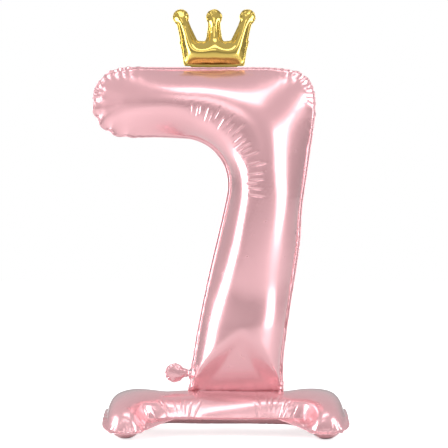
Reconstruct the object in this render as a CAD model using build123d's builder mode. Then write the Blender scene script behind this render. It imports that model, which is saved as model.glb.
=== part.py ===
"""Standing foil number balloon: a numeral seven with a crown on top and a four-footed base.

Three sealed foil chambers are bonded into one free-standing piece. Each chamber is two foil
sheets heat-sealed round a flat seam flange, with a clear self-sealing valve and a fill tab
that folds at the seam. Millimetres. +Z is up, the front faces -Y, and the origin is on the
floor under the middle of the overall box.
"""

from build123d import *

import os
from math import cos, pi, radians, sin, sqrt

os.makedirs("parts", exist_ok=True)

# ---------------------------------------------------------------- driving dimensions
FOIL = 0.9              # wall thickness that stands for the real 0.05 mm film
FLANGE = 5.0            # width of the heat-sealed seam outside the inflated part
CROWN_FLANGE = 3.0

# numeral
BAR_TOP = 720.0         # seam height of the top edge
BAR_UNDER = 591.0
BAR_TIP_X = -247.0
BAR_END = 62.0          # length of the rounded end
BAR_DEPTH = 128.0
ELBOW_X, ELBOW_Z, ELBOW_R = -73.0, 494.0, 95.0   # round inside corner
ELBOW_SWELL = 30.0      # extra depth at the corner, where the stroke is widest
RIGHT_LEAN = 8.2        # degrees that the right edge leans from upright
RIGHT_REACH = 237.0     # from the elbow's centre to the right edge, square to it
CORNER_POWER = 7        # how square the outer corner is
ELBOW_END = -10         # degrees, where the elbow runs out into the stem
STEM_DEPTH = 148.0
STEM_FOOT_Z = 82.0      # straight seam at the foot
STEM_END = 128.0        # height over which the depth closes down to the foot
# height, left seam, right seam
STEM_ROWS = [
    (385, 0, 156),
    (295, -21, 143),
    (210, -38, 130),
    (138, -50, 122),
    (106, -54, 122),
    (90, -56, 123),
    (84, -57, 123),
]

# crown
CROWN_X = -10.0
CROWN_SEAM_Z = 730.0
# height above the bottom seam, half width, depth
CROWN_ROWS = [(0, 57, 2.4), (4, 58, 18), (12, 59, 36), (26, 61, 45), (38, 64, 34), (44, 66, 12)]
PRONG_FOOT = 26.0       # height above the bottom seam
PRONG_RISE = 94.0       # from the bottom seam to the ball's centre
PRONG_WIDTHS = [(0.0, 34), (0.3, 27), (0.65, 20), (1.0, 17)]
PRONG_FOOT_X, PRONG_TIP_X = 44.0, 66.0      # sideways distance of an outer prong's ends
BALL_R = 13.0
BALL_DEPTH = 22.0

# base
BASE_X = 13.0           # the bar overhangs the base on the left, so the base is right of centre
DRAPE_R = 262.0         # the base hangs over an arc of this radius
DRAPE_TOP = 46.0        # seam height at the middle
LEG_X = 191.0           # from the base's middle to the middle of a leg
LEG_HALF_WIDTH = 42.0
LEG_HALF_THICK = 41.0
LEG_REACH = 120.0       # from the middle to the toe, along the arc
LEG_HALF_SPAN = 117.0   # the same seen from above
LEG_CORNER = 33.0       # rounding of a toe, seen from above
LEG_WIDTH_POWER, LEG_THICK_POWER = 4, 3
BRIDGE_HALF_DEPTH = 62.0
# distance from the base's middle, half depth, half thickness
BRIDGE_ROWS = [(191, 66, 31), (150, 65, 30), (75, BRIDGE_HALF_DEPTH, 28.5), (0, BRIDGE_HALF_DEPTH, 28)]
REAR_CORNER = 26.0      # rounding of the flange between the bridge and a leg
WEB_SIZE = 42.0         # a corner web's two straight sides
WEB_LAP = 9.0           # reaches past the leg's rounded flange before it is trimmed to it
WEB_THICK = 1.6
WEB_HOLE_R = 2.0
WEB_HOLE_IN = 13.0      # from the corner to the hole, along each side

# fill tabs: two plies of foil with the valve's mouth between them
TAB_THICK = 1.6
TAB_R = 19.0
CROWN_TAB_R = 12.0
NECK_WIDTH = 20.0
NECK_LENGTH = 6.0       # from the fold to the disc
FOLD_PLAY = 0.3         # between the flange's edge and the tab's rounded fold
NUMBER_TAB_Z = 120.0
NUMBER_FOLD_X = -63.0
CROWN_FOLD_Z = 725.0
BASE_FOLD_Y = 71.0

# clear valves
FILM = 0.3              # one ply
FILM_WIDTH = 14.0
NUMBER_FILM = 58.0      # lengths
CROWN_FILM = 32.0
BASE_FILM = 40.0

# bonds
TAPE = 0.6
CROWN_Y = 2 * FOIL + TAPE   # the crown's flange lies behind the numeral's, with tape between
CROWN_TAPE_HALF = 45.0
CROWN_TAPE_Z = (721.5, 724.8)
FOOT_TAPE_X = (-48.0, 114.0)
FOOT_TAPE_REACH = 15.0  # how far it runs down the bridge
FOOT_TAPE_TOP = 83.5


# ---------------------------------------------------------------- inflated shapes
def station(middle, across, along, half_width, half_depth):
    """A loft station: its plane, whose x axis joins the two seam points, and its half sizes."""
    return Plane(origin=middle, x_dir=across, z_dir=along), half_width, half_depth


def pillow(stations, inset=0.0):
    """A closed solid lofted through ellipses."""
    with BuildPart(mode=Mode.PRIVATE) as inflated:
        for plane, half_width, half_depth in stations:
            with BuildSketch(plane):
                Ellipse(max(half_width - inset, 0.3), max(half_depth - inset, 0.3))
        loft()
    return inflated.part


def corner_reach(angle):
    """From the elbow's centre to the outer seam, with the square corner rounded off."""
    up = max(sin(radians(angle)), 0) / (BAR_TOP - ELBOW_Z)
    right = max(cos(radians(angle + RIGHT_LEAN)), 0) / RIGHT_REACH
    return (up**CORNER_POWER + right**CORNER_POWER) ** (-1 / CORNER_POWER)


def number_stations(inset=0.0):
    """Down the one stroke of the numeral: the bar, the elbow and the stem."""
    stations = []
    half_bar = (BAR_TOP - BAR_UNDER) / 2
    for step in (2, 8, 20, 38, BAR_END, 118):
        share = sqrt(1 - max(0, 1 - step / BAR_END) ** 2)
        middle = (BAR_TIP_X + max(step, 2 + inset), 0, BAR_UNDER + half_bar)
        stations.append(station(middle, (0, 0, 1), (1, 0, 0), half_bar * share, BAR_DEPTH / 2 * share))
    for step in range(11):
        share = step / 10
        angle = 90 + (ELBOW_END - 90) * share
        depth = BAR_DEPTH + (STEM_DEPTH - BAR_DEPTH) * share + ELBOW_SWELL * sin(pi * share) ** 2
        out = (cos(radians(angle)), 0, sin(radians(angle)))
        reach = corner_reach(angle)
        along = (out[2], 0, -out[0])
        middle = (ELBOW_X + out[0] * (reach + ELBOW_R) / 2, 0, ELBOW_Z + out[2] * (reach + ELBOW_R) / 2)
        stations.append(station(middle, out, along, (reach - ELBOW_R) / 2, depth / 2))
    for z, left, right in STEM_ROWS:
        share = sqrt(1 - max(0, 1 - (z - STEM_FOOT_Z) / STEM_END) ** 2)
        middle = ((left + right) / 2, 0, max(z, STEM_ROWS[-1][0] + inset))
        stations.append(station(middle, (1, 0, 0), (0, 0, -1), (right - left) / 2, STEM_DEPTH * share / 2))
    return stations


def crown_solids(inset=0.0):
    """The crown's band, its three prongs and their balls."""
    rows = []
    for z, half_width, depth in CROWN_ROWS:
        centre = (CROWN_X, CROWN_Y, CROWN_SEAM_Z + max(z, inset))
        rows.append(station(centre, (1, 0, 0), (0, 0, 1), half_width, depth / 2))
    solids = [pillow(rows, inset)]
    for foot, tip, along, across in PRONGS:
        prong = []
        for share, width in PRONG_WIDTHS:
            prong.append(station(foot + (tip - foot) * share, across, along, width / 2, width / 2))
        solids.append(pillow(prong, inset))
        ball = []
        for share in (-0.97, -0.7, 0.0, 0.7, 0.97):
            width = sqrt(1 - share**2)
            middle = tip + along * share * (BALL_R - inset)
            ball.append(station(middle, across, along, BALL_R * width, BALL_DEPTH / 2 * width))
        solids.append(pillow(ball, inset * 0.5))
    return solids


def drape(y):
    """Height of the base's seam surface, an arc seen from the side."""
    return DRAPE_TOP - DRAPE_R + sqrt(DRAPE_R**2 - y**2)


def bridge_solid(inset=0.0):
    """The bridge, which reaches into both legs. A negative inset makes it larger."""
    rows = [(-x, half_depth, half_thick) for x, half_depth, half_thick in BRIDGE_ROWS]
    rows += BRIDGE_ROWS[-2::-1]
    bridge = []
    for x, half_depth, half_thick in rows:
        bridge.append(station((BASE_X + x, 0, DRAPE_TOP), (0, 1, 0), (1, 0, 0), half_depth, half_thick))
    return pillow(bridge, inset)


def base_solids(inset=0.0):
    """The two legs, arched front to back, and the bridge between them."""
    solids = [bridge_solid(inset)]
    for side in (-1, 1):
        leg = []
        for share in (-0.985, -0.93, -0.8, -0.55, 0.0, 0.55, 0.8, 0.93, 0.985):
            angle = share * (LEG_REACH - inset) / DRAPE_R
            wide = LEG_HALF_WIDTH * (1 - abs(share) ** LEG_WIDTH_POWER) ** (1 / LEG_WIDTH_POWER)
            thick = LEG_HALF_THICK * (1 - abs(share) ** LEG_THICK_POWER) ** (1 / LEG_THICK_POWER)
            middle = (BASE_X + side * LEG_X, DRAPE_R * sin(angle), drape(DRAPE_R * sin(angle)))
            leg.append(station(middle, (1, 0, 0), (0, cos(angle), -sin(angle)), wide, thick))
        solids.append(pillow(leg, inset))
    return solids


def above(solids, floor):
    """One solid from overlapping ones, cut flat at a height."""
    with BuildPart(mode=Mode.PRIVATE) as whole:
        for solid in solids:
            add(solid)
        split(bisect_by=Plane.XY.offset(floor), keep=Keep.TOP)
    return whole.part


# ---------------------------------------------------------------- seam flanges
def flat_sheet(outline, low, high):
    """A sketch on the front plane made into a sheet between two depths."""
    with BuildPart(mode=Mode.PRIVATE) as sheet:
        extrude(Plane.XZ.offset(-high) * outline, amount=high - low)
    return sheet.part


def draped_sheet(outline, low, high):
    """A plan sketch made into a sheet that follows the drape, between two heights over the seam."""
    with BuildPart(mode=Mode.PRIVATE) as sheet:
        extrude(outline, amount=DRAPE_TOP + 20)
        with Locations(Location((BASE_X, 0, DRAPE_TOP - DRAPE_R), (0, 90, 0))):
            Cylinder(DRAPE_R + high, 700, mode=Mode.INTERSECT)
            Cylinder(DRAPE_R + low, 700, mode=Mode.SUBTRACT)
    return sheet.part


def pushed(points, amount):
    """Points of a line moved square to it, to its left."""
    moved = []
    for index, point in enumerate(points):
        way = (points[min(index + 1, len(points) - 1)] - points[max(index - 1, 0)]).normalized()
        moved.append(point + Vector(-way.Y, way.X) * amount)
    return moved


def number_outline():
    """The numeral's flange, a flange's width outside its seam, with a tongue for the fill tab."""
    sides = []
    for side in (1, -1):
        seam = []
        for plane, half_width, half_depth in number_stations():
            point = plane.origin + plane.x_dir * side * half_width
            seam.append(Vector(point.X, point.Z))
        edge = pushed(seam, FLANGE * side)
        sides.append(edge + [edge[-1] - Vector(0, FLANGE)])
    with BuildSketch(mode=Mode.PRIVATE) as outline:
        with BuildLine():
            for edge in sides:
                Spline(*edge)
            Line(sides[0][0], sides[1][0])
            Line(sides[0][-1], sides[1][-1])
        make_face()
        tongue_end = NUMBER_FOLD_X + TAB_THICK / 2 + FOLD_PLAY
        with Locations((tongue_end, NUMBER_TAB_Z)):
            Rectangle(-NUMBER_FOLD_X / 2, NECK_WIDTH, align=(Align.MIN, Align.CENTER))
    return outline.sketch


def crown_outline():
    """The crown's flange, with a tongue that reaches down to the tape."""
    with BuildSketch(mode=Mode.PRIVATE) as outline:
        right = [(CROWN_X + w + CROWN_FLANGE, CROWN_SEAM_Z + z) for z, w, depth in CROWN_ROWS]
        left = [(CROWN_X - w - CROWN_FLANGE, CROWN_SEAM_Z + z) for z, w, depth in CROWN_ROWS]
        low, high = CROWN_SEAM_Z - CROWN_FLANGE, CROWN_SEAM_Z + CROWN_ROWS[-1][0] + CROWN_FLANGE
        ring = [(left[0][0], low), (right[0][0], low)] + right + [(right[-1][0], high), (left[-1][0], high)]
        Polygon(*ring, *reversed(left), align=None)
        with Locations((CROWN_X, CROWN_TAPE_Z[0])):
            Rectangle(2 * CROWN_TAPE_HALF, low + 1 - CROWN_TAPE_Z[0], align=(Align.CENTER, Align.MIN))
        for foot, tip, along, across in PRONGS:
            edges = []
            for side in (1, -1):
                line = []
                for share, width in PRONG_WIDTHS:
                    point = foot + (tip - foot) * share + across * side * (width / 2 + CROWN_FLANGE)
                    line.append((point.X, point.Z))
                edges += line if side > 0 else line[::-1]
            Polygon(*edges, align=None)
            with Locations((tip.X, tip.Z)):
                Circle(BALL_R + CROWN_FLANGE)
    return outline.sketch


def base_outline():
    """The base's flange seen from above: two legs and the bridge."""
    half_span, half_width = LEG_HALF_SPAN + FLANGE, LEG_HALF_WIDTH + FLANGE
    with BuildSketch(mode=Mode.PRIVATE) as outline:
        with Locations((BASE_X, 0)):
            Rectangle(2 * LEG_X, 2 * (BRIDGE_HALF_DEPTH + FLANGE))
        with Locations((BASE_X - LEG_X, 0), (BASE_X + LEG_X, 0)):
            RectangleRounded(2 * half_width, 2 * half_span, LEG_CORNER + FLANGE)
        corner_x = LEG_X - half_width - REAR_CORNER / 2
        corner_y = BRIDGE_HALF_DEPTH + FLANGE + REAR_CORNER / 2
        with Locations((BASE_X - corner_x, corner_y), (BASE_X + corner_x, corner_y)):
            Rectangle(REAR_CORNER, REAR_CORNER)
        corner_x, corner_y = corner_x - REAR_CORNER / 2, corner_y + REAR_CORNER / 2
        with Locations((BASE_X - corner_x, corner_y), (BASE_X + corner_x, corner_y)):
            Circle(REAR_CORNER, mode=Mode.SUBTRACT)
        with Locations((BASE_X, BASE_FOLD_Y - TAB_THICK / 2 - FOLD_PLAY)):
            Rectangle(NECK_WIDTH, BASE_FOLD_Y / 2, align=(Align.CENTER, Align.MAX))
    return outline.sketch


def film_strip(lie, length, side):
    """One ply of a valve, on one side of a plane, from the flange's edge back into the chamber."""
    with BuildPart(mode=Mode.PRIVATE) as strip:
        with BuildSketch(lie):
            with Locations((-TAB_THICK / 2 - FOLD_PLAY, 0)):
                Rectangle(length, FILM_WIDTH, align=(Align.MAX, Align.CENTER))
        extrude(amount=FILM * side)
    return strip.part


def fill_tab(lie, disc_radius):
    """A neck and a disc along the plane's x axis. The fold, rounded in section, is at its origin."""
    with BuildPart(mode=Mode.PRIVATE) as tab:
        with BuildSketch(lie):
            with Locations((NECK_LENGTH / 2 + disc_radius / 2, 0)):
                Rectangle(NECK_LENGTH + disc_radius, NECK_WIDTH)
            with Locations((NECK_LENGTH + disc_radius, 0)):
                Circle(disc_radius)
        extrude(amount=TAB_THICK / 2, both=True)
        with BuildSketch(Plane(origin=lie.origin, x_dir=lie.x_dir, z_dir=lie.y_dir)):
            Circle(TAB_THICK / 2)
        extrude(amount=NECK_WIDTH / 2, both=True)
    return tab.part


def corner_web(side):
    """A web across a front inside corner of the base, with its hole square to the web."""
    corner_x = LEG_X - LEG_HALF_WIDTH - FLANGE
    corner_y = -BRIDGE_HALF_DEPTH - FLANGE
    ring = [(WEB_LAP, WEB_LAP), (-WEB_SIZE, WEB_LAP), (-WEB_SIZE, 0), (WEB_LAP, -WEB_SIZE)]
    hole_y = corner_y - WEB_HOLE_IN
    lean = hole_y / DRAPE_R
    with BuildSketch(mode=Mode.PRIVATE) as outline:
        Polygon(*[(BASE_X + side * (corner_x + x), corner_y + y) for x, y in ring], align=None)
        add(BASE_FLANGE, mode=Mode.SUBTRACT)
    with BuildPart(mode=Mode.PRIVATE) as web:
        add(draped_sheet(outline.sketch, -WEB_THICK / 2, WEB_THICK / 2))
        middle = (BASE_X + side * (corner_x - WEB_HOLE_IN), hole_y, drape(hole_y))
        with BuildSketch(Plane(origin=middle, x_dir=(1, 0, 0), z_dir=(0, lean, sqrt(1 - lean**2)))):
            Circle(WEB_HOLE_R)
        extrude(amount=5, both=True, mode=Mode.SUBTRACT)
    return web.part


def foot_tape(side):
    """A strip that runs down the numeral's foot flange and out over the bridge."""
    length, middle_x = FOOT_TAPE_X[1] - FOOT_TAPE_X[0], (FOOT_TAPE_X[0] + FOOT_TAPE_X[1]) / 2
    down = (Align.CENTER, Align.CENTER, Align.MAX)
    with BuildPart(mode=Mode.PRIVATE) as strip:
        add(bridge_solid(-TAPE))
        with Locations((middle_x, side * (FOIL + TAPE / 2), FOOT_TAPE_TOP)):
            Box(length, TAPE, 20, align=down)
        with Locations((middle_x, side * (FOIL + FOOT_TAPE_REACH / 2), FOOT_TAPE_TOP)):
            Box(length, FOOT_TAPE_REACH, 30, align=down, mode=Mode.INTERSECT)
        add(bridge_solid(), mode=Mode.SUBTRACT)
    return strip.part


def chamber(bodies, flange, air):
    """Both foils of a chamber as one shell: the inflated shape and its flange, less the air."""
    with BuildPart(mode=Mode.PRIVATE) as shell:
        for solid in bodies + [flange]:
            add(solid)
        for solid in air:
            add(solid, mode=Mode.SUBTRACT)
    return shell.part


# ---------------------------------------------------------------- shared solids
PRONGS = []
for turn in (-1, 0, 1):
    prong_foot = Vector(CROWN_X + turn * PRONG_FOOT_X, CROWN_Y, CROWN_SEAM_Z + PRONG_FOOT)
    prong_tip = Vector(CROWN_X + turn * PRONG_TIP_X, CROWN_Y, CROWN_SEAM_Z + PRONG_RISE)
    prong_along = (prong_tip - prong_foot).normalized()
    PRONGS.append((prong_foot, prong_tip, prong_along, prong_along.cross(Vector(0, 1, 0))))

BASE_FLANGE = base_outline()
number_shell = chamber(
    [pillow(number_stations())],
    flat_sheet(number_outline(), -FOIL, FOIL),
    [pillow(number_stations(FOIL), FOIL)],
)
crown_shell = chamber(
    crown_solids(),
    flat_sheet(crown_outline(), CROWN_Y - FOIL, CROWN_Y + FOIL),
    crown_solids(FOIL),
)
base_shell = chamber(
    [above(base_solids(), 0)],
    draped_sheet(BASE_FLANGE, -FOIL, FOIL),
    [above(base_solids(FOIL), FOIL)],
)

# a fold lies at each plane's origin; the tab runs along its x axis and the valve the other way
number_fold = Plane(origin=(NUMBER_FOLD_X, 0, NUMBER_TAB_Z), x_dir=(-1, 0, 0), z_dir=(0, -1, 0))
crown_fold_y = CROWN_Y + FOIL + FOLD_PLAY + TAB_THICK / 2
crown_fold = Plane(origin=(CROWN_X, crown_fold_y, CROWN_FOLD_Z), x_dir=(0, 1, 0))
base_tilt = BASE_FOLD_Y / DRAPE_R
base_fold = Plane(
    origin=(BASE_X, BASE_FOLD_Y, drape(BASE_FOLD_Y)),
    x_dir=(0, sqrt(1 - base_tilt**2), -base_tilt),
    z_dir=(0, base_tilt, sqrt(1 - base_tilt**2)),
)
crown_seam = Plane(
    origin=(CROWN_X, CROWN_Y, CROWN_TAPE_Z[0] - TAB_THICK / 2 - FOLD_PLAY),
    x_dir=(0, 0, -1),
    z_dir=(0, -1, 0),
)
number_films = [film_strip(number_fold, NUMBER_FILM, side) for side in (1, -1)]
crown_films = [film_strip(crown_seam, CROWN_FILM, side) for side in (1, -1)]
base_films = [film_strip(base_fold, BASE_FILM, side) for side in (1, -1)]


# ---------------------------------------------------------------- numeral
with BuildPart() as number_front_foil:
    add(number_shell)
    split(bisect_by=Plane.XZ, keep=Keep.TOP)
    add(number_films[0], mode=Mode.SUBTRACT)
number_front_foil.part.label = "number_front_foil"
export_step(number_front_foil.part, "parts/number_front_foil.step")

with BuildPart() as number_back_foil:
    add(number_shell)
    split(bisect_by=Plane.XZ, keep=Keep.BOTTOM)
    add(number_films[1], mode=Mode.SUBTRACT)
number_back_foil.part.label = "number_back_foil"
export_step(number_back_foil.part, "parts/number_back_foil.step")

with BuildPart() as number_valve_front_film:
    add(number_films[0])
number_valve_front_film.part.label = "number_valve_front_film"
export_step(number_valve_front_film.part, "parts/number_valve_front_film.step")

with BuildPart() as number_valve_back_film:
    add(number_films[1])
number_valve_back_film.part.label = "number_valve_back_film"
export_step(number_valve_back_film.part, "parts/number_valve_back_film.step")

with BuildPart() as number_fill_tab:
    add(fill_tab(number_fold, TAB_R))
number_fill_tab.part.label = "number_fill_tab"
export_step(number_fill_tab.part, "parts/number_fill_tab.step")

# ---------------------------------------------------------------- crown
with BuildPart() as crown_front_foil:
    add(crown_shell)
    split(bisect_by=Plane.XZ.offset(-CROWN_Y), keep=Keep.TOP)
    add(crown_films[0], mode=Mode.SUBTRACT)
crown_front_foil.part.label = "crown_front_foil"
export_step(crown_front_foil.part, "parts/crown_front_foil.step")

with BuildPart() as crown_back_foil:
    add(crown_shell)
    split(bisect_by=Plane.XZ.offset(-CROWN_Y), keep=Keep.BOTTOM)
    add(crown_films[1], mode=Mode.SUBTRACT)
crown_back_foil.part.label = "crown_back_foil"
export_step(crown_back_foil.part, "parts/crown_back_foil.step")

with BuildPart() as crown_valve_front_film:
    add(crown_films[0])
crown_valve_front_film.part.label = "crown_valve_front_film"
export_step(crown_valve_front_film.part, "parts/crown_valve_front_film.step")

with BuildPart() as crown_valve_back_film:
    add(crown_films[1])
crown_valve_back_film.part.label = "crown_valve_back_film"
export_step(crown_valve_back_film.part, "parts/crown_valve_back_film.step")

with BuildPart() as crown_fill_tab:
    add(fill_tab(crown_fold, CROWN_TAB_R))
crown_fill_tab.part.label = "crown_fill_tab"
export_step(crown_fill_tab.part, "parts/crown_fill_tab.step")

with BuildPart() as crown_tape:
    with Locations((CROWN_X, FOIL + TAPE / 2, CROWN_TAPE_Z[0])):
        tape_height = CROWN_TAPE_Z[1] - CROWN_TAPE_Z[0]
        Box(2 * CROWN_TAPE_HALF, TAPE, tape_height, align=(Align.CENTER, Align.CENTER, Align.MIN))
crown_tape.part.label = "crown_tape"
export_step(crown_tape.part, "parts/crown_tape.step")

# ---------------------------------------------------------------- base
with BuildPart() as base_top_foil:
    add(base_shell)
    with Locations(Location((BASE_X, 0, DRAPE_TOP - DRAPE_R), (0, 90, 0))):
        Cylinder(DRAPE_R, 700, mode=Mode.SUBTRACT)
    for film in base_films:
        add(film, mode=Mode.SUBTRACT)
base_top_foil.part.label = "base_top_foil"
export_step(base_top_foil.part, "parts/base_top_foil.step")

with BuildPart() as base_bottom_foil:
    add(base_shell)
    with Locations(Location((BASE_X, 0, DRAPE_TOP - DRAPE_R), (0, 90, 0))):
        Cylinder(DRAPE_R, 700, mode=Mode.INTERSECT)
    for film in base_films:
        add(film, mode=Mode.SUBTRACT)
base_bottom_foil.part.label = "base_bottom_foil"
export_step(base_bottom_foil.part, "parts/base_bottom_foil.step")

with BuildPart() as base_valve_upper_film:
    add(base_films[0])
base_valve_upper_film.part.label = "base_valve_upper_film"
export_step(base_valve_upper_film.part, "parts/base_valve_upper_film.step")

with BuildPart() as base_valve_lower_film:
    add(base_films[1])
base_valve_lower_film.part.label = "base_valve_lower_film"
export_step(base_valve_lower_film.part, "parts/base_valve_lower_film.step")

with BuildPart() as base_fill_tab:
    add(fill_tab(base_fold, TAB_R))
base_fill_tab.part.label = "base_fill_tab"
export_step(base_fill_tab.part, "parts/base_fill_tab.step")

with BuildPart() as base_anchor_web_left:
    add(corner_web(-1))
base_anchor_web_left.part.label = "base_anchor_web_left"
export_step(base_anchor_web_left.part, "parts/base_anchor_web_left.step")

with BuildPart() as base_anchor_web_right:
    add(corner_web(1))
base_anchor_web_right.part.label = "base_anchor_web_right"
export_step(base_anchor_web_right.part, "parts/base_anchor_web_right.step")

with BuildPart() as foot_tape_front:
    add(foot_tape(-1))
foot_tape_front.part.label = "foot_tape_front"
export_step(foot_tape_front.part, "parts/foot_tape_front.step")

with BuildPart() as foot_tape_back:
    add(foot_tape(1))
foot_tape_back.part.label = "foot_tape_back"
export_step(foot_tape_back.part, "parts/foot_tape_back.step")
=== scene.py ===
import math

import bmesh
import bpy
import numpy as np
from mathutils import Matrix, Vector
from mathutils.geometry import delaunay_2d_cdt


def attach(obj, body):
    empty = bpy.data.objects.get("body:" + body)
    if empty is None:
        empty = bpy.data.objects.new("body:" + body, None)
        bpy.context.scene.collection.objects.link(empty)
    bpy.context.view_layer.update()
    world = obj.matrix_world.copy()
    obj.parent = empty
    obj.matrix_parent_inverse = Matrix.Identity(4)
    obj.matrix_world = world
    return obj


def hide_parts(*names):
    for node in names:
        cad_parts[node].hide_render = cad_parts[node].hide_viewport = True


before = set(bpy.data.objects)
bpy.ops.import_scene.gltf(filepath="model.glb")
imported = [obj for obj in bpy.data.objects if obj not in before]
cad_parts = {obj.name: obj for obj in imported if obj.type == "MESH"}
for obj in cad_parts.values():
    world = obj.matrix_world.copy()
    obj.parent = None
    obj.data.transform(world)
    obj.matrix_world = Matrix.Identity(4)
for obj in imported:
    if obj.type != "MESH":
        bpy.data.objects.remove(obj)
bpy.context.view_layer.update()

SEED = 7
EASE = 10               # loop points over which a gather starts and ends
ROW = 0.866             # rows of a triangular lattice, over its step
START_GAP = 0.0005      # between the flat foils before they are blown up
SEAM_STEP = 0.002
POINT_MASS = 2000       # mass of a cloth point over its step squared
CORRECTION_REACH = 0.04
FOIL_STIFFNESS = 120

# the CAD's own sizes that the new pieces follow
FOIL = 0.0009
FLANGE = 0.005
CROWN_FLANGE = 0.003
CROWN_Y = 0.0024        # the crown's sheet stands behind the numeral's
DRAPE_R = 0.262         # the base's sheet lies on an arc of this radius
DRAPE_AXIS_Z = -0.216
NUMBER_DEPTH = 0.074    # half depths of the full chambers
CROWN_DEPTH = 0.0215
BASE_DEPTH = 0.0395
FOOT_SOFT = 0.0012      # rounding where the feet press on the floor
FLOOR_GAP = 0.0002
FOOT_SEAM_Z = 0.084     # the numeral's straight seam at its foot
FOOT_RISE = 0.118       # height of the flat facet above the foot seam
FOOT_EDGE = 0.003       # rounding of the facet's edges
STEM_X = (-0.058, 0.14) # the stem lies between these across the numeral
STEM_FULL = (0.19, 0.24)        # heights above the foot seam where the stem's full depth is read
FOOT_BLEND = (0.125, 0.225)     # heights over which the shaped foot joins the blown-up stem
LEG_START = (0.11, 0.18)        # distances from the base's middle over which its bridge becomes a leg
TOE_START = (0.03, 0.09)        # distances from the bridge over which a leg becomes a toe

NUMBER_TRIES = (0.012, 0.012, 0.012, 0.009)
NUMBER_MESH = (0.005, 0.008, 0.02)
CROWN_TRIES = (0.005, 0.004)
CROWN_MESH = (0.0022, 0.0026, 0.007)
BASE_TRIES = (0.009, 0.009)
BASE_MESH = (0.004, 0.006, 0.014)

BASE_X = 0.013
BASE_FOLD_Y = 0.071     # where the base's tab folds
TAB_HALF = 0.0008       # half the CAD tab's thickness
TAB_FLANGE = 0.0022
TAB_MESH = (0.0015, 0.0018, 0.004)
TAB_CREASE = 0.0009     # height of the creases across a tab's neck
TAB_JOIN = 0.0035       # what the neck is drawn in by, up to the flange it hangs from
PLEAT_WIDTH = 0.0013
LONG_EDGE = 0.0035      # edges longer than this are divided where pleats cross them
TONGUE_REACH = 6        # the longest tongue of a flange, over the flange's width
SKIN_GAP = 0.00055      # from the sheet's plane to each foil at the weld
SKIN = 0.0004
WELD_CREASE = 0.8

PINK = (0.86, 0.48, 0.515)
PINK_DEEP = (0.82, 0.445, 0.48)
# dark crimson painted into the pink foil's tight folds: painted shade for light bounced from foil to
# foil
PINK_PAINTED_FOLD_SHADE = (0.36, 0.02, 0.05)
GOLD = (0.76, 0.57, 0.16)
GOLD_DEEP = (0.68, 0.48, 0.11)
# dark olive painted into the gold foil's tight folds: painted shade for light bounced from foil to foil
GOLD_PAINTED_FOLD_SHADE = (0.22, 0.13, 0.02)
FOLD_SHADE_REACH = 0.012      # how near the next foil is for the painted fold shade to darken it
ROOM_LIGHT = 0.64
# how bright the room is from straight down (0) to straight up (1)
ROOM_SHADES = ((0.0, 0.75), (0.42, 0.5), (0.5, 0.55), (0.62, 0.85), (0.8, 1.0))


# ---------------------------------------------------------------- closed loops of points
def eased(values, reach):
    """Values round a closed loop, averaged over reach neighbours each way."""
    weights = np.hanning(2 * reach + 3)[1:-1]
    weights /= weights.sum()
    wrapped = np.concatenate([values[-reach:], values, values[:reach]])
    if wrapped.ndim == 1:
        return np.convolve(wrapped, weights, "valid")
    return np.stack([np.convolve(column, weights, "valid") for column in wrapped.T], 1)


def run_along(loop):
    """Distance along a closed loop at each point, with the whole length last."""
    return np.r_[0, np.cumsum(np.linalg.norm(np.roll(loop, -1, 0) - loop, axis=1))]


def at_distance(loop, values, distances):
    """Values given at a loop's points, read at other distances along it."""
    run = run_along(loop)
    closed = np.concatenate([values, values[:1]])
    where = np.mod(distances, run[-1])
    return np.stack([np.interp(where, run, column) for column in closed.T], 1)


def evenly(loop, step):
    length = run_along(loop)[-1]
    count = int(round(length / step))
    return at_distance(loop, loop, np.arange(count) * length / count)


def outward(loop, reach=3):
    """Unit normals that point out of an anticlockwise loop."""
    along = np.roll(loop, -reach, 0) - np.roll(loop, reach, 0)
    along /= np.linalg.norm(along, axis=1)[:, None]
    return np.stack([along[:, 1], -along[:, 0]], 1)


def area(loop):
    following = np.roll(loop, -1, 0)
    return 0.5 * np.sum(loop[:, 0] * following[:, 1] - following[:, 0] * loop[:, 1])


def widest_circle(loop, normals, most):
    """Radius of the largest circle inside the loop that touches it at each point."""
    radii = np.full(len(loop), most)
    for i, (point, normal) in enumerate(zip(loop, normals)):
        reach = loop - point
        depth = -(reach @ normal)
        facing = depth > 1e-4
        radii[i] = min(most, ((reach[facing] ** 2).sum(1) / (2 * depth[facing])).min())
    return radii


def inside(points, loop):
    x, y = points.T
    result = np.zeros(len(points), bool)
    for (x1, y1), (x2, y2) in zip(loop, np.roll(loop, -1, 0)):
        crosses = (y1 > y) != (y2 > y)
        result ^= crosses & (x < (x2 - x1) * (y - y1) / (y2 - y1 + 1e-12) + x1)
    return result


def rising(values):
    """The nearest values that never fall, by pooling neighbours."""
    blocks = []
    for value in values:
        blocks.append([value, 1])
        while len(blocks) > 1 and blocks[-2][0] > blocks[-1][0]:
            (a, n), (b, m) = blocks[-2:]
            blocks[-2:] = [[(a * n + b * m) / (n + m), n + m]]
    return np.concatenate([np.full(count, value) for value, count in blocks])


def smoothly(value, start, end):
    share = np.clip((value - start) / (end - start), 0, 1)
    return share * share * (3 - 2 * share)


# ---------------------------------------------------------------- reading the frame
def cad_points(node):
    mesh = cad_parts[node].data
    points = np.empty(3 * len(mesh.vertices))
    mesh.vertices.foreach_get("co", points)
    return points.reshape(-1, 3)


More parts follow.
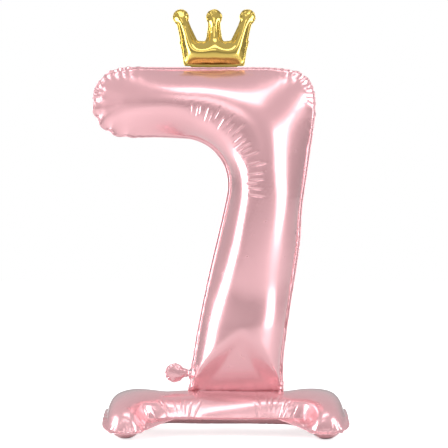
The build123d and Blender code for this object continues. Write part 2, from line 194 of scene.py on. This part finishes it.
def seam_loop(node, off_sheet, flatten):
    """The inner and outer edges of a foil's flat flange. off_sheet gives each point's distance from the
    flange's face, and flatten its two coordinates on that face."""
    points = cad_points(node)
    keys, same = np.unique(np.round(points * 1e6).astype(int), axis=0, return_inverse=True)
    same = same.ravel()
    on_sheet = np.abs(off_sheet(points)) < 2e-5
    edges = set()
    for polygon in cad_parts[node].data.polygons:
        corners = list(polygon.vertices)
        if all(on_sheet[c] for c in corners):
            ids = [int(same[c]) for c in corners]
            for a, b in zip(ids, ids[1:] + ids[:1]):
                if (b, a) in edges:
                    edges.remove((b, a))
                else:
                    edges.add((a, b))
    following = dict(edges)
    loops = []
    while following:
        start = here = next(iter(following))
        chain = []
        while here in following:
            chain.append(here)
            here = following.pop(here)
        loops.append(flatten(keys[chain] / 1e6))
    outer, seam = [
        loop if area(loop) > 0 else loop[::-1]
        for loop in sorted(loops, key=lambda loop: -abs(area(loop)))[:2]
    ]
    return evenly(seam, SEAM_STEP), evenly(outer, SEAM_STEP / 4)


# ---------------------------------------------------------------- foil patterns
def respaced(weld, seat, step):
    """Both lines at points that are evenly spaced along the weld."""
    length = run_along(weld)[-1]
    count = int(round(length / step))
    places = np.arange(count) * length / count
    return at_distance(weld, weld, places), at_distance(weld, seat, places)


def matched(points, seam):
    """Places on the seam for points near it, in order along it, so that its corners are reached."""
    run = run_along(seam)
    index = [int(np.argmin(((seam - p) ** 2).sum(1))) for p in points]
    place = np.unwrap(run[index], period=run[-1])
    place = place[0] + rising(place - place[0])
    trend = np.arange(len(points)) / len(points) * run[-1]
    return at_distance(seam, seam, trend + eased(place - trend, 4))


def laid_on(points, seats):
    """The turn and shift in the sheet's plane that lay points best on their seats."""
    middle, seat_middle = points.mean(0), seats.mean(0)
    left, _, right = np.linalg.svd((points - middle).T @ (seats - seat_middle))
    turn = right.T @ left.T
    if np.linalg.det(turn) < 0:
        right[-1] *= -1
        turn = right.T @ left.T
    return turn, seat_middle - turn @ middle


def lattice(low, high, step):
    rows = []
    for row in range(int((high[1] - low[1]) / (step * ROW)) + 1):
        xs = np.arange(low[0] + (row % 2) * step / 2, high[0], step)
        rows.append(np.stack([xs, np.full(len(xs), low[1] + row * step * ROW)], 1))
    return np.concatenate(rows)


def sheet_mesh(weld, fine, coarse, band):
    """One flat sheet inside the weld, with small triangles in a band beside it."""
    low, high = weld.min(0), weld.max(0)
    kept = []
    for step, nearest, furthest in ((fine, 0.6 * fine, band), (coarse, band, 9.0)):
        points = lattice(low, high, step)
        points = points[inside(points, weld)]
        gap = np.full(len(points), 9.0)
        for corner in weld:
            gap = np.minimum(gap, np.hypot(*(points - corner).T))
        kept.append(points[(gap > nearest) & (gap <= furthest)])
    loop = [(i, (i + 1) % len(weld)) for i in range(len(weld))]
    points = [Vector(p) for p in np.concatenate([weld, *kept])]
    made = delaunay_2d_cdt(points, loop, [], 1, 1e-7)
    return np.array([tuple(p) for p in made[0]]), np.array(made[2])


def blow_up(name, weld, sizes, frames, pressure, stiffness):
    """Two flat foils welded at their rim and blown up by cloth simulation. Returns points, and the
    triangles of one side. The first side's own points follow the rim's, then the other side's."""
    flat, triangles = sheet_mesh(weld, *sizes)
    rim, count = len(weld), len(flat)
    both = np.concatenate([flat, flat[rim:]])
    side = np.r_[np.zeros(rim), -np.ones(count - rim), np.ones(count - rim)]
    start = np.stack([both[:, 0], side * START_GAP, both[:, 1]], 1)
    other = np.arange(count)
    other[rim:] += count - rim
    faces = np.concatenate([triangles, other[triangles][:, ::-1]])
    mesh = bpy.data.meshes.new(name)
    mesh.from_pydata(start.tolist(), [], faces.tolist())
    cloth = bpy.data.objects.new(name, mesh)
    bpy.context.scene.collection.objects.link(cloth)
    modifier = cloth.modifiers.new("Cloth", "CLOTH")
    modifier.point_cache.frame_end = frames
    modifier.collision_settings.use_collision = False
    foil = modifier.settings
    foil.quality, foil.air_damping = 6, 2
    foil.mass = POINT_MASS * sizes[1] ** 2
    foil.tension_stiffness = foil.compression_stiffness = stiffness
    foil.shear_stiffness, foil.bending_stiffness = stiffness / 2, 0.05
    foil.tension_damping = foil.compression_damping = foil.shear_damping = 5
    foil.bending_damping = 0.5
    foil.use_pressure, foil.uniform_pressure_force = True, pressure
    foil.effector_weights.gravity = 0
    scene = bpy.context.scene
    scene.frame_end = max(scene.frame_end, frames)
    for number in range(1, frames + 1):
        scene.frame_set(number)
    evaluated = cloth.evaluated_get(bpy.context.evaluated_depsgraph_get()).data
    points = np.empty(3 * len(evaluated.vertices))
    evaluated.vertices.foreach_get("co", points)
    scene.frame_set(1)
    bpy.data.objects.remove(cloth)
    bpy.data.meshes.remove(mesh)
    return points.reshape(-1, 3), triangles


def inflated(name, seam, share, tries, sizes, frames, pressure, stiffness):
    """A full foil chamber whose weld lies on the CAD seam. A full chamber draws in and its bends
    close, so the flat cut is corrected from coarse trials until the full one fits the seam, and
    what is left of the error is eased away. Points are (across, depth, up) in the sheet's frame."""
    normals = outward(seam)
    spare = eased(share * widest_circle(seam, normals, 1.0), EASE)
    weld, seat = seam + normals * spare[:, None], seam
    for number, step in enumerate([*tries, None]):
        mesh_sizes = sizes if step is None else (step, step, 0.0)
        weld, seat = respaced(weld, seat, mesh_sizes[0])
        count = frames if step else frames * 3 // 2
        points, triangles = blow_up(name, weld, mesh_sizes, count, pressure, stiffness)
        rim = points[:len(weld), ::2]
        turn, shift = laid_on(rim, seat)
        if number:
            for _ in range(3):
                seat = matched(rim @ turn.T + shift, seam)
                turn, shift = laid_on(rim, seat)
            seat = matched(rim @ turn.T + shift, seam)
        rim = rim @ turn.T + shift
        if step:
            weld = weld + 0.8 * eased(seat - rim, max(2, int(CORRECTION_REACH / step)))
    flat = points[:, ::2] @ turn.T + shift
    error = eased(seat - rim, 3)
    for first in range(0, len(flat), 2000):
        part = flat[first:first + 2000]
        pull = (((part[:, None] - rim[None]) ** 2).sum(2) + 1e-7) ** -1.5
        flat[first:first + 2000] = part + (pull @ error) / pull.sum(1)[:, None]
    return np.stack([flat[:, 0], points[:, 1], flat[:, 1]], 1), triangles, len(weld)


# ---------------------------------------------------------------- foil pieces
def pucker(rim, half_width, pitch, most):
    """Waves of a welded rim, highest where it bends outward and its foil is gathered: distance out
    of the sheet's plane, and outward in it. A wave's height takes up the foil to spare."""
    rng = np.random.default_rng(SEED)
    step = np.linalg.norm(np.roll(rim, -1, 0) - rim, axis=1)
    out = outward(rim, 2)
    bend = (np.cross(out, np.roll(out, -1, 0))) / step
    gathered = np.clip(eased(bend, 6) * half_width * 0.5, 0.002, 0.5)
    wander = eased(rng.normal(0, 2.2, len(rim)), 5)
    waves = np.cumsum(step * (1 + np.clip(wander, -0.6, 0.6)))
    phase = waves / waves[-1] * round(waves[-1] / pitch) * 2 * math.pi
    height = np.minimum(pitch / math.pi * np.sqrt(gathered), most)
    return height * np.sin(phase), height * np.cos(phase)


def relaxed(points, triangles, rim, rounds):
    """Both sides with their small creases eased out, and the rim left where it is."""
    inner = (len(points) - rim) // 2
    other = np.arange(rim + inner)
    other[rim:] += inner
    corners = np.concatenate([triangles, other[triangles]])
    pairs = np.concatenate([corners[:, [0, 1]], corners[:, [1, 2]], corners[:, [2, 0]]])
    pairs = np.unique(np.sort(pairs, 1), axis=0)
    ends = np.concatenate([pairs, pairs[:, ::-1]])
    count = np.bincount(ends[:, 0], minlength=len(points))
    for _ in range(rounds):
        total = [np.bincount(ends[:, 0], points[ends[:, 1], axis], len(points)) for axis in range(3)]
        mean = np.stack(total, 1) / count[:, None]
        points[rim:] += 0.6 * (mean - points)[rim:]
    return points


def flange_reach(line, out, outer, flange):
    """How far the flange reaches beyond each point of a rim, out to the end of its tongue."""
    reach = np.full(len(line), flange)
    for i, (point, normal) in enumerate(zip(line, out)):
        off = outer - point
        ahead = off @ normal
        hit = ahead[(ahead > flange) & (np.abs(np.cross(off, normal)) < 0.0006)]
        if len(hit) and hit.min() < TONGUE_REACH * flange:
            reach[i] = hit.min()
    return reach


def chamber(
    name, seam, outer, shaped, *, share, tries, sizes, frames, pressure, ease, half_depth, pitch, most,
    flange,
):
    """A full foil chamber in its sheet's frame: (points, triangles, rim count, flange rings). ease is
    the rounds of smoothing, and pitch and most are the spacing and height of the rim's puckers."""
    points, triangles, rim = inflated(name, seam, share, tries, sizes, frames, pressure, FOIL_STIFFNESS)
    points = points.copy()
    points[:, 1] -= points[:rim, 1].mean()
    points = relaxed(points, triangles, rim, ease)
    points[:, 1] *= half_depth / np.abs(points[:, 1]).max()
    points = shaped(points)
    line = points[:rim, ::2].copy()
    out = eased(outward(line, 2), 2)
    out /= np.linalg.norm(out, axis=1)[:, None]
    lift, scallop = pucker(line, half_depth, pitch, most)
    for first in range(0, len(points), 2000):
        part = points[first:first + 2000]
        gap = np.linalg.norm(part[:, None, ::2] - line[None], axis=2)
        close = gap.argmin(1)
        fade = np.exp(-gap.min(1) / (0.7 * pitch))
        part[:, 1] += lift[close] * fade
        part[:, ::2] += (0.35 * scallop[close] * fade)[:, None] * out[close]
    rings = []
    far = flange_reach(line, out, outer, flange)
    scallop = np.where(far > 1.3 * flange, 0.1 * scallop, scallop)
    for share_out in (0.35, 1.0):
        reach = far * share_out + 0.35 * scallop * (1 + share_out)
        ring = line + out * reach[:, None]
        rings.append(np.stack([ring[:, 0], lift * (1 + 0.5 * share_out), ring[:, 1]], 1))
    return points, triangles, rim, rings


def pleat(solid, centre, start, end, count, reach, depth, seed):
    """Short sharp pleats that fan out from a bend's centre, between two angles in degrees. reach is
    the nearest and furthest distance from the centre that a pleat covers."""
    rng = np.random.default_rng(seed)
    near, far = reach
    stray = rng.uniform(-0.35, 0.35, count) * (end - start) / count
    turns = np.radians(np.linspace(start, end, count) + stray)
    heads = near + rng.uniform(0.0, 0.25, count) * (far - near)
    lengths = (far - near) * rng.uniform(0.45, 0.8, count)
    deep = depth * rng.uniform(0.5, 1.0, count)

    def polar(vert):
        dx, dz = vert.co.x - centre[0], vert.co.z - centre[1]
        return math.hypot(dx, dz), math.atan2(dz, dx)

    def covered(vert):
        radius, turn = polar(vert)
        spread = math.radians((end + start) / 2)
        off = (turn - spread + math.pi) % (2 * math.pi) - math.pi
        return near - 0.004 < radius < far + 0.004 and abs(off) < math.radians((end - start) / 2) + 0.1

    zone = {vert for vert in solid.verts if covered(vert)}
    edges = [
        edge for edge in solid.edges
        if edge.verts[0] in zone and edge.verts[1] in zone and edge.calc_length() > LONG_EDGE
    ]
    bmesh.ops.subdivide_edges(solid, edges=edges, cuts=3, use_grid_fill=True, smooth=0.0)
    bmesh.ops.triangulate(solid, faces=[f for f in solid.faces if len(f.verts) > 4])
    solid.normal_update()
    for vert in solid.verts:
        if not covered(vert):
            continue
        radius, turn = polar(vert)
        off = (turn - turns + math.pi) % (2 * math.pi) - math.pi
        along = (radius - heads) / lengths
        ridge = np.where((along > 0) & (along < 1), np.sin(math.pi * np.clip(along, 0, 1)), 0)
        groove = deep * ridge * np.exp(-((radius * off) / PLEAT_WIDTH) ** 2)
        vert.co -= vert.normal * float(groove.sum())


def fold_shading(mesh, loops):
    """Keeps the weld line crisp under subdivision and smooth shading."""
    wanted = {tuple(sorted(pair)) for pair in loops}
    sharp = mesh.attributes.new("crease_edge", "FLOAT", "EDGE")
    values = [WELD_CREASE if tuple(sorted(edge.vertices)) in wanted else 0.0 for edge in mesh.edges]
    sharp.data.foreach_set("value", values)
    mesh.shade_smooth()


def foil_side(name, shape, side, place, pleats, material, gap=SKIN_GAP, thickness=SKIN):
    """One foil of a chamber, its flange with it: side is -1 for the first and +1 for the second."""
    points, triangles, rim, rings = shape
    inner = (len(points) - rim) // 2
    first = rim if side < 0 else rim + inner
    own = np.concatenate([points[:rim], points[first:first + inner]])
    line = points[:rim, ::2]
    near = np.array([np.hypot(*(line - p[::2]).T).min() for p in own])
    own[:, 1] += side * gap * np.exp(-near / 0.004)
    turned = triangles if side < 0 else triangles[:, ::-1]
    faces = [tuple(int(i) for i in face) for face in turned]
    ring_from = list(range(rim))
    parts = [own]
    count = len(own)
    for ring in rings:
        parts.append(ring + (0, side * gap, 0))
        ring_to = list(range(count, count + rim))
        count += rim
        for i in range(rim):
            j = (i + 1) % rim
            quad = (ring_from[i], ring_to[i], ring_to[j], ring_from[j])
            faces.append(quad if side < 0 else quad[::-1])
        ring_from = ring_to
    mesh = bpy.data.meshes.new(name)
    mesh.from_pydata(np.concatenate(parts).tolist(), [], faces)
    solid = bmesh.new()
    solid.from_mesh(mesh)
    for number, (centre, start, end, count, reach, depth) in enumerate(pleats):
        pleat(solid, centre, start, end, count, reach, depth, SEED + number)
    solid.to_mesh(mesh)
    solid.free()
    final = np.empty(3 * len(mesh.vertices))
    mesh.vertices.foreach_get("co", final)
    mesh.vertices.foreach_set("co", place(final.reshape(-1, 3)).ravel())
    mesh.update()
    piece = bpy.data.objects.new(name, mesh)
    bpy.context.scene.collection.objects.link(piece)
    fold_shading(mesh, [(i, (i + 1) % rim) for i in range(rim)])
    mesh.materials.append(material)
    smooth = piece.modifiers.new("Subdivision", "SUBSURF")
    smooth.levels = smooth.render_levels = 1
    film = piece.modifiers.new("Film", "SOLIDIFY")
    film.thickness, film.offset = thickness, -1
    return piece


def foil_pair(names, nodes, shape, place, pleats, material, body):
    for name, node, side in zip(names, nodes, (-1, 1)):
        piece = foil_side(name, shape, side, place, pleats, material)
        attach(piece, body)
        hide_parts(node)


# ---------------------------------------------------------------- materials
def node_material(name):
    material = bpy.data.materials.new(name)
    material.use_nodes = True
    tree = material.node_tree
    shader = tree.nodes["Principled BSDF"]
    return material, tree, shader


def noise_node(tree, scale, detail, coordinates, distortion=0.0):
    node = tree.nodes.new("ShaderNodeTexNoise")
    node.inputs["Scale"].default_value = scale
    node.inputs["Detail"].default_value = detail
    node.inputs["Distortion"].default_value = distortion
    tree.links.new(coordinates, node.inputs["Vector"])
    return node


def foil_material(name, colour, deep, fold_shade, metallic, roughness, coat, wrinkle):
    """Metal-coated film: slight colour drift, roughness drift, fine creases from handling. In tight
    folds an ambient-occlusion mask paints shade into the base colour, deepening it to the fold colour,
    in place of light bounced from foil to foil."""
    material, tree, shader = node_material(name)
    place = tree.nodes.new("ShaderNodeTexCoord").outputs["Object"]
    drift = noise_node(tree, 9, 3, place)
    blend = tree.nodes.new("ShaderNodeMix")
    blend.data_type = "RGBA"
    blend.inputs["A"].default_value = (*colour, 1)
    blend.inputs["B"].default_value = (*deep, 1)
    tree.links.new(drift.outputs["Fac"], blend.inputs["Factor"])
    # painted shade: ambient occlusion darkens the base colour towards the fold colour in creases,
    # scallops and gaps
    shade_occlusion = tree.nodes.new("ShaderNodeAmbientOcclusion")
    shade_occlusion.samples = 8
    shade_occlusion.inputs["Distance"].default_value = FOLD_SHADE_REACH
    open_share = tree.nodes.new("ShaderNodeMapRange")
    open_share.inputs["From Min"].default_value = 0.12
    open_share.inputs["From Max"].default_value = 0.5
    tree.links.new(shade_occlusion.outputs["AO"], open_share.inputs["Value"])
    shaded = tree.nodes.new("ShaderNodeMix")
    shaded.data_type = "RGBA"
    shaded.inputs["A"].default_value = (*fold_shade, 1)
    tree.links.new(blend.outputs["Result"], shaded.inputs["B"])
    tree.links.new(open_share.outputs["Result"], shaded.inputs["Factor"])
    tree.links.new(shaded.outputs["Result"], shader.inputs["Base Color"])
    shader.inputs["Metallic"].default_value = metallic
    shine = tree.nodes.new("ShaderNodeMapRange")
    shine.inputs["To Min"].default_value = roughness * 0.85
    shine.inputs["To Max"].default_value = roughness * 1.2
    smears = noise_node(tree, 40, 4, place, 0.6)
    tree.links.new(smears.outputs["Fac"], shine.inputs["Value"])
    tree.links.new(shine.outputs["Result"], shader.inputs["Roughness"])
    shader.inputs["Coat Weight"].default_value = coat
    shader.inputs["Coat Roughness"].default_value = 0.06
    creases = noise_node(tree, 55, 5, place, 1.2)
    grain = noise_node(tree, 900, 2, place)
    heights = tree.nodes.new("ShaderNodeMath")
    heights.operation = "MULTIPLY_ADD"
    heights.inputs[1].default_value = 0.01
    tree.links.new(grain.outputs["Fac"], heights.inputs[0])
    tree.links.new(creases.outputs["Fac"], heights.inputs[2])
    bump = tree.nodes.new("ShaderNodeBump")
    bump.inputs["Strength"].default_value = wrinkle
    bump.inputs["Distance"].default_value = 0.002
    tree.links.new(heights.outputs["Value"], bump.inputs["Height"])
    tree.links.new(bump.outputs["Normal"], shader.inputs["Normal"])
    return material


def clear_material(name, colour, alpha, roughness):
    """Thin clear plastic with faint streaks."""
    material, tree, shader = node_material(name)
    place = tree.nodes.new("ShaderNodeTexCoord").outputs["Object"]
    streaks = noise_node(tree, 120, 3, place, 2.0)
    shine = tree.nodes.new("ShaderNodeMapRange")
    shine.inputs["To Min"].default_value = roughness
    shine.inputs["To Max"].default_value = roughness * 2.5
    tree.links.new(streaks.outputs["Fac"], shine.inputs["Value"])
    tree.links.new(shine.outputs["Result"], shader.inputs["Roughness"])
    shader.inputs["Base Color"].default_value = (*colour, 1)
    shader.inputs["Alpha"].default_value = alpha
    shader.inputs["IOR"].default_value = 1.48
    return material


pink = foil_material("pink_film", PINK, PINK_DEEP, PINK_PAINTED_FOLD_SHADE, 0.75, 0.25, 1.0, 0.025)
gold = foil_material("gold_film", GOLD, GOLD_DEEP, GOLD_PAINTED_FOLD_SHADE, 1.0, 0.12, 0.0, 0.015)
film = clear_material("valve_film", (0.9, 0.93, 0.95), 0.35, 0.15)
tape = clear_material("tape_film", (0.95, 0.95, 0.93), 0.3, 0.2)


# ---------------------------------------------------------------- the three chambers
# centre, first and last angle in degrees, count, nearest and furthest from the centre, depth
ELBOW_PLEATS = (
    ((-0.073, 0.494), -10, 84, 22, (0.122, 0.176), 0.0022),
)
BASE_PLEATS = tuple(
    ((BASE_X + side * 0.082, way * 0.098), *angles, 11, (0.036, 0.092), 0.0018)
    for side, way, angles in (
        (-1, -1, (62, 178)), (1, -1, (2, 118)), (-1, 1, (182, 298)), (1, 1, (242, 358)),
    )
) + (((BASE_X, -0.4), 82, 98, 6, (0.372, 0.425), 0.0014),)


def upright(y):
    return lambda points: points + (0, y, 0)


def flat_foot(points):
    """The stem stays round down to its straight foot seam, but for a flat three-cornered facet on
    each side, its point up, where the foil closes onto the seam."""
    across, depth, up = points.T
    stem = number_seam[(number_seam[:, 1] > FOOT_SEAM_Z + 0.001) & (number_seam[:, 1] < 0.36)]
    stem = stem[np.argsort(stem[:, 1])]
    left, right = stem[stem[:, 0] < 0.04], stem[stem[:, 0] > 0.04]
    low = np.interp(up, left[:, 1], left[:, 0])
    high = np.interp(up, right[:, 1], right[:, 0])
    place = np.clip(np.abs(2 * (across - low) / (high - low) - 1), 0, 1)
    above = up - FOOT_SEAM_Z
    rise = np.clip(above, 0, 1) / FOOT_RISE
    full = np.abs(depth[(above > STEM_FULL[0]) & (above < STEM_FULL[1])]).max()
    tube = full * np.sqrt(1 - place ** 2.1)
    cheek = np.clip(place - 0.9 * np.clip(1 - rise, 0, 1) ** 1.5, 0, 1)
    facet = full * (rise + 0.4 * cheek * np.clip(rise * 4, 0, 1))
    shaped = 0.5 * (tube + facet - np.sqrt((tube - facet) ** 2 + FOOT_EDGE ** 2))
    blend = 1 - smoothly(above, *FOOT_BLEND)
    blend = np.where((across > STEM_X[0]) & (across < STEM_X[1]) & (above > 0), blend, 0)
    blend *= np.clip(np.abs(depth) / 0.002, 0, 1)
    return np.stack([across, depth + blend * (np.sign(depth) * shaped - depth), up], 1)


def full_legs(points):
    """The base's legs are squarer in section than its bridge, and their toes are the fullest."""
    across, depth, along = points.T
    leg = smoothly(np.abs(across - BASE_X), *LEG_START)
    toe = smoothly(np.abs(along), *TOE_START) * leg
    size = np.abs(depth)
    deepest = size[leg < 0.01].max() * (1 - leg) + size[leg > 0.99].max() * leg
    share = size / deepest
    square = share * 1.28 / (share + 0.28)
    under = BASE_DEPTH * (0.68 + 0.16 * leg + 0.3 * toe)
    over = BASE_DEPTH * (1 + 0.06 * leg)
    size = np.where(depth > 0, under, over) * (share + (square - share) * leg)
    return np.stack([across, np.copysign(size, depth), along], 1)


def draped(points):
    """Wraps the base's flat sheet over the arc that it stands in, with its feet flat on the floor."""
    across, depth, along = points.T
    radius = DRAPE_R - depth
    height = DRAPE_AXIS_Z + radius * np.cos(along / DRAPE_R)
    soft = FOOT_SOFT * np.log1p(np.exp(np.clip((height - FLOOR_GAP) / FOOT_SOFT, -30, 30)))
    height = np.where(height > 8 * FOOT_SOFT, height, FLOOR_GAP + soft)
    return np.stack([across, radius * np.sin(along / DRAPE_R), height], 1)


def xz(points):
    return points[:, ::2]


def over_arc(points):
    turned = np.arctan2(points[:, 1], points[:, 2] - DRAPE_AXIS_Z)
    return np.stack([points[:, 0], DRAPE_R * turned], 1)


number_seam, number_edge = seam_loop("number_front_foil", lambda p: p[:, 1] + FOIL, xz)
number = chamber(
    "number", eased(number_seam, 2), number_edge, flat_foot,
    share=0.6, tries=NUMBER_TRIES, sizes=NUMBER_MESH, frames=30, pressure=8,
    ease=30, half_depth=NUMBER_DEPTH, pitch=0.013, most=0.0024, flange=FLANGE,
)
foil_pair(
    ("number_front_skin", "number_back_skin"), ("number_front_foil", "number_back_foil"),
    number, upright(0), ELBOW_PLEATS, pink, "balloon",
)

crown_seam, crown_edge = seam_loop("crown_front_foil", lambda p: p[:, 1] - CROWN_Y + FOIL, xz)
crown = chamber(
    "crown", eased(crown_seam, 2), crown_edge, upright(0),
    share=0.58, tries=CROWN_TRIES, sizes=CROWN_MESH, frames=30, pressure=24,
    ease=30, half_depth=CROWN_DEPTH, pitch=0.006, most=0.0004, flange=CROWN_FLANGE,
)
foil_pair(
    ("crown_front_skin", "crown_back_skin"), ("crown_front_foil", "crown_back_foil"),
    crown, upright(CROWN_Y), (), gold, "balloon",
)

base_seam, base_edge = seam_loop(
    "base_top_foil",
    lambda p: np.hypot(p[:, 1], p[:, 2] - DRAPE_AXIS_Z) - DRAPE_R - FOIL, over_arc,
)
base = chamber(
    "base", eased(base_seam, 2), base_edge, full_legs,
    share=0.55, tries=BASE_TRIES, sizes=BASE_MESH, frames=30, pressure=12,
    ease=12, half_depth=BASE_DEPTH, pitch=0.011, most=0.0014, flange=FLANGE,
)
foil_pair(
    ("base_top_skin", "base_bottom_skin"), ("base_top_foil", "base_bottom_foil"),
    base, draped, BASE_PLEATS, pink, "balloon",
)


# ---------------------------------------------------------------- fill tabs
def tab_plane(origin, up, normal):
    """The frame of a tab's flat plate: its two coordinates on the plate, its distance from the
    plate's face, and the way back to the row frame."""
    origin, up, normal = np.array(origin), np.array(up), np.array(normal)
    across = np.array((1.0, 0.0, 0.0))

    def flatten(points):
        return np.stack([(points - origin) @ across, (points - origin) @ up], 1)

    def off_face(points):
        return (points - origin) @ normal - TAB_HALF

    def place(points):
        return origin + points @ np.stack([across, -normal, up])

    return flatten, off_face, place


def fill_tab(name, node, plane, half_depth, neck, fold_axis, material, body):
    """A fill tab: two foils with a little air between them, flat and creased at the neck. neck gives
    where the tab is joined, in the plate's coordinates, and how far its neck reaches. fold_axis is the
    coordinate that runs along the fold."""
    flatten, off_face, place = plane
    points = cad_points(node)
    face = flatten(points[np.abs(off_face(points)) < 2e-5])
    order = np.argsort(np.arctan2(*(face - face.mean(0)).T[::-1]))
    edge = evenly(face[order], 0.001)
    edge = edge if area(edge) > 0 else edge[::-1]
    weld = evenly(eased(edge, 2) - outward(edge, 2) * TAB_FLANGE, 0.0012)
    shape = chamber(
        name, weld, edge, upright(0),
        share=0.3, tries=(), sizes=TAB_MESH, frames=12, pressure=30,
        ease=3, half_depth=half_depth, pitch=0.0055, most=0.0007, flange=TAB_FLANGE,
    )
    root, reach = np.array(neck[:2]), neck[2]
    away = np.clip(np.linalg.norm(shape[0][:, ::2] - root, axis=1) / reach, 0, 1)
    shape[0][:, 1] *= 0.25 + 0.75 * away ** 2
    crease = TAB_CREASE * np.sin(shape[0][:, fold_axis] * 1500) * (1 - away)
    shape[0][:, 1] += crease
    for layer in (shape[0], *shape[3]):
        toward = root - layer[:, ::2]
        toward *= (TAB_JOIN / np.maximum(np.linalg.norm(toward, axis=1), 0.004))[:, None]
        close = 1 - smoothly(np.linalg.norm(layer[:, ::2] - root, axis=1), 0.004, reach)
        layer[:, ::2] += toward * close[:, None]
    sides = [foil_side(name, shape, side, place, (), material, 0.0003, 0.0002) for side in (-1, 1)]
    with bpy.context.temp_override(active_object=sides[0], selected_editable_objects=sides):
        bpy.ops.object.join()
    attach(sides[0], body)
    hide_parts(node)


lean = math.asin(BASE_FOLD_Y / DRAPE_R)
base_fold_z = DRAPE_AXIS_Z + DRAPE_R * math.cos(lean)
fill_tab(
    "number_tab_film", "number_fill_tab", tab_plane((0, 0, 0), (0, 0, 1), (0, -1, 0)),
    0.006, (-0.059, 0.120, 0.021), 2, pink, "number_tab",
)
fill_tab(
    "crown_tab_film", "crown_fill_tab", tab_plane((0, 0, 0.725), (0, 1, 0), (0, 0, 1)),
    0.002, (-0.01, 0.0036, 0.014), 0, gold, "crown_tab",
)
fill_tab(
    "base_tab_film", "base_fill_tab",
    tab_plane(
        (0, BASE_FOLD_Y, base_fold_z), (0, math.cos(lean), -math.sin(lean)),
        (0, math.sin(lean), math.cos(lean)),
    ),
    0.004, (BASE_X, 0.0, 0.02), 0, pink, "base_tab",
)


# ---------------------------------------------------------------- pieces kept from the frame
FINISHES = {"pink_foil": pink, "gold_foil": gold, "clear_film": film, "clear_tape": tape}
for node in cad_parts.values():
    for holder in node.material_slots:
        holder.material = FINISHES.get(holder.material.name.split(".")[0], pink)
    node.data.shade_smooth()


# ---------------------------------------------------------------- floor, light, camera
def studio():
    floor_mesh = bpy.data.meshes.new("floor")
    half = 6.0
    corners = [(-half, -half, 0), (half, -half, 0), (half, half, 0), (-half, half, 0)]
    floor_mesh.from_pydata(corners, [], [(0, 1, 2, 3)])
    floor = bpy.data.objects.new("floor", floor_mesh)
    bpy.context.scene.collection.objects.link(floor)
    material, tree, shader = node_material("floor_paint")
    shader.inputs["Base Color"].default_value = (0.88, 0.88, 0.88, 1)
    shader.inputs["Roughness"].default_value = 0.9
    shader.inputs["Specular IOR Level"].default_value = 0.1
    shader.inputs["Emission Color"].default_value = (1, 1, 1, 1)
    glow = tree.nodes.new("ShaderNodeMath")
    glow.operation = "MULTIPLY"
    glow.inputs[1].default_value = 0.7
    tree.links.new(tree.nodes.new("ShaderNodeLightPath").outputs["Is Camera Ray"], glow.inputs[0])
    tree.links.new(glow.outputs["Value"], shader.inputs["Emission Strength"])
    floor_mesh.materials.append(material)
    world = bpy.data.worlds.new("studio")
    world.use_nodes = True
    bpy.context.scene.world = world
    nodes, links = world.node_tree.nodes, world.node_tree.links
    seen = nodes["Background"]
    seen.inputs["Color"].default_value = (1, 1, 1, 1)
    seen.inputs["Strength"].default_value = 1.0
    lit = nodes.new("ShaderNodeBackground")
    lit.inputs["Strength"].default_value = ROOM_LIGHT
    direction = nodes.new("ShaderNodeSeparateXYZ")
    links.new(nodes.new("ShaderNodeTexCoord").outputs["Generated"], direction.inputs["Vector"])
    height = nodes.new("ShaderNodeMapRange")
    height.inputs["From Min"].default_value = -1
    links.new(direction.outputs["Z"], height.inputs["Value"])
    shades = nodes.new("ShaderNodeValToRGB")
    shades.color_ramp.elements.remove(shades.color_ramp.elements[0])
    for number, (place, shade) in enumerate(ROOM_SHADES):
        if number:
            shades.color_ramp.elements.new(place)
        stop = shades.color_ramp.elements[number]
        stop.position, stop.color = place, (shade, shade, shade, 1)
    links.new(height.outputs["Result"], shades.inputs["Fac"])
    links.new(shades.outputs["Color"], lit.inputs["Color"])
    ray = nodes.new("ShaderNodeLightPath")
    choose = nodes.new("ShaderNodeMixShader")
    links.new(ray.outputs["Is Camera Ray"], choose.inputs["Fac"])
    links.new(lit.outputs["Background"], choose.inputs[1])
    links.new(seen.outputs["Background"], choose.inputs[2])
    links.new(choose.outputs["Shader"], nodes["World Output"].inputs["Surface"])


def softbox(name, place, aim, width, height, watts):
    light = bpy.data.lights.new(name, "AREA")
    light.shape, light.size, light.size_y, light.energy = "RECTANGLE", width, height, watts
    lamp = bpy.data.objects.new(name, light)
    lamp.location = place
    lamp.rotation_euler = (Vector(aim) - Vector(place)).to_track_quat("-Z", "Y").to_euler()
    bpy.context.scene.collection.objects.link(lamp)


studio()
middle = (0.0, 0.0, 0.42)
softbox("softbox_left", (-1.75, -0.6, 0.55), middle, 0.85, 1.5, 27)
softbox("softbox_right", (1.6, -1.0, 0.55), middle, 0.75, 1.6, 19)
softbox("softbox_top", (0.1, -0.9, 2.1), middle, 1.5, 0.45, 6)
softbox("softbox_front", (-0.4, -2.6, 2.0), middle, 1.6, 0.8, 5)

camera_data = bpy.data.cameras.new("camera")
camera_data.sensor_width, camera_data.lens, camera_data.shift_y = 36, 121.8, -0.04
camera = bpy.data.objects.new("camera", camera_data)
camera.location = (0.0095, -3.0, 0.45)
camera.rotation_euler = (math.radians(90), 0, 0)
bpy.context.scene.collection.objects.link(camera)
bpy.context.scene.camera = camera
bpy.context.scene.view_settings.view_transform = "Standard"
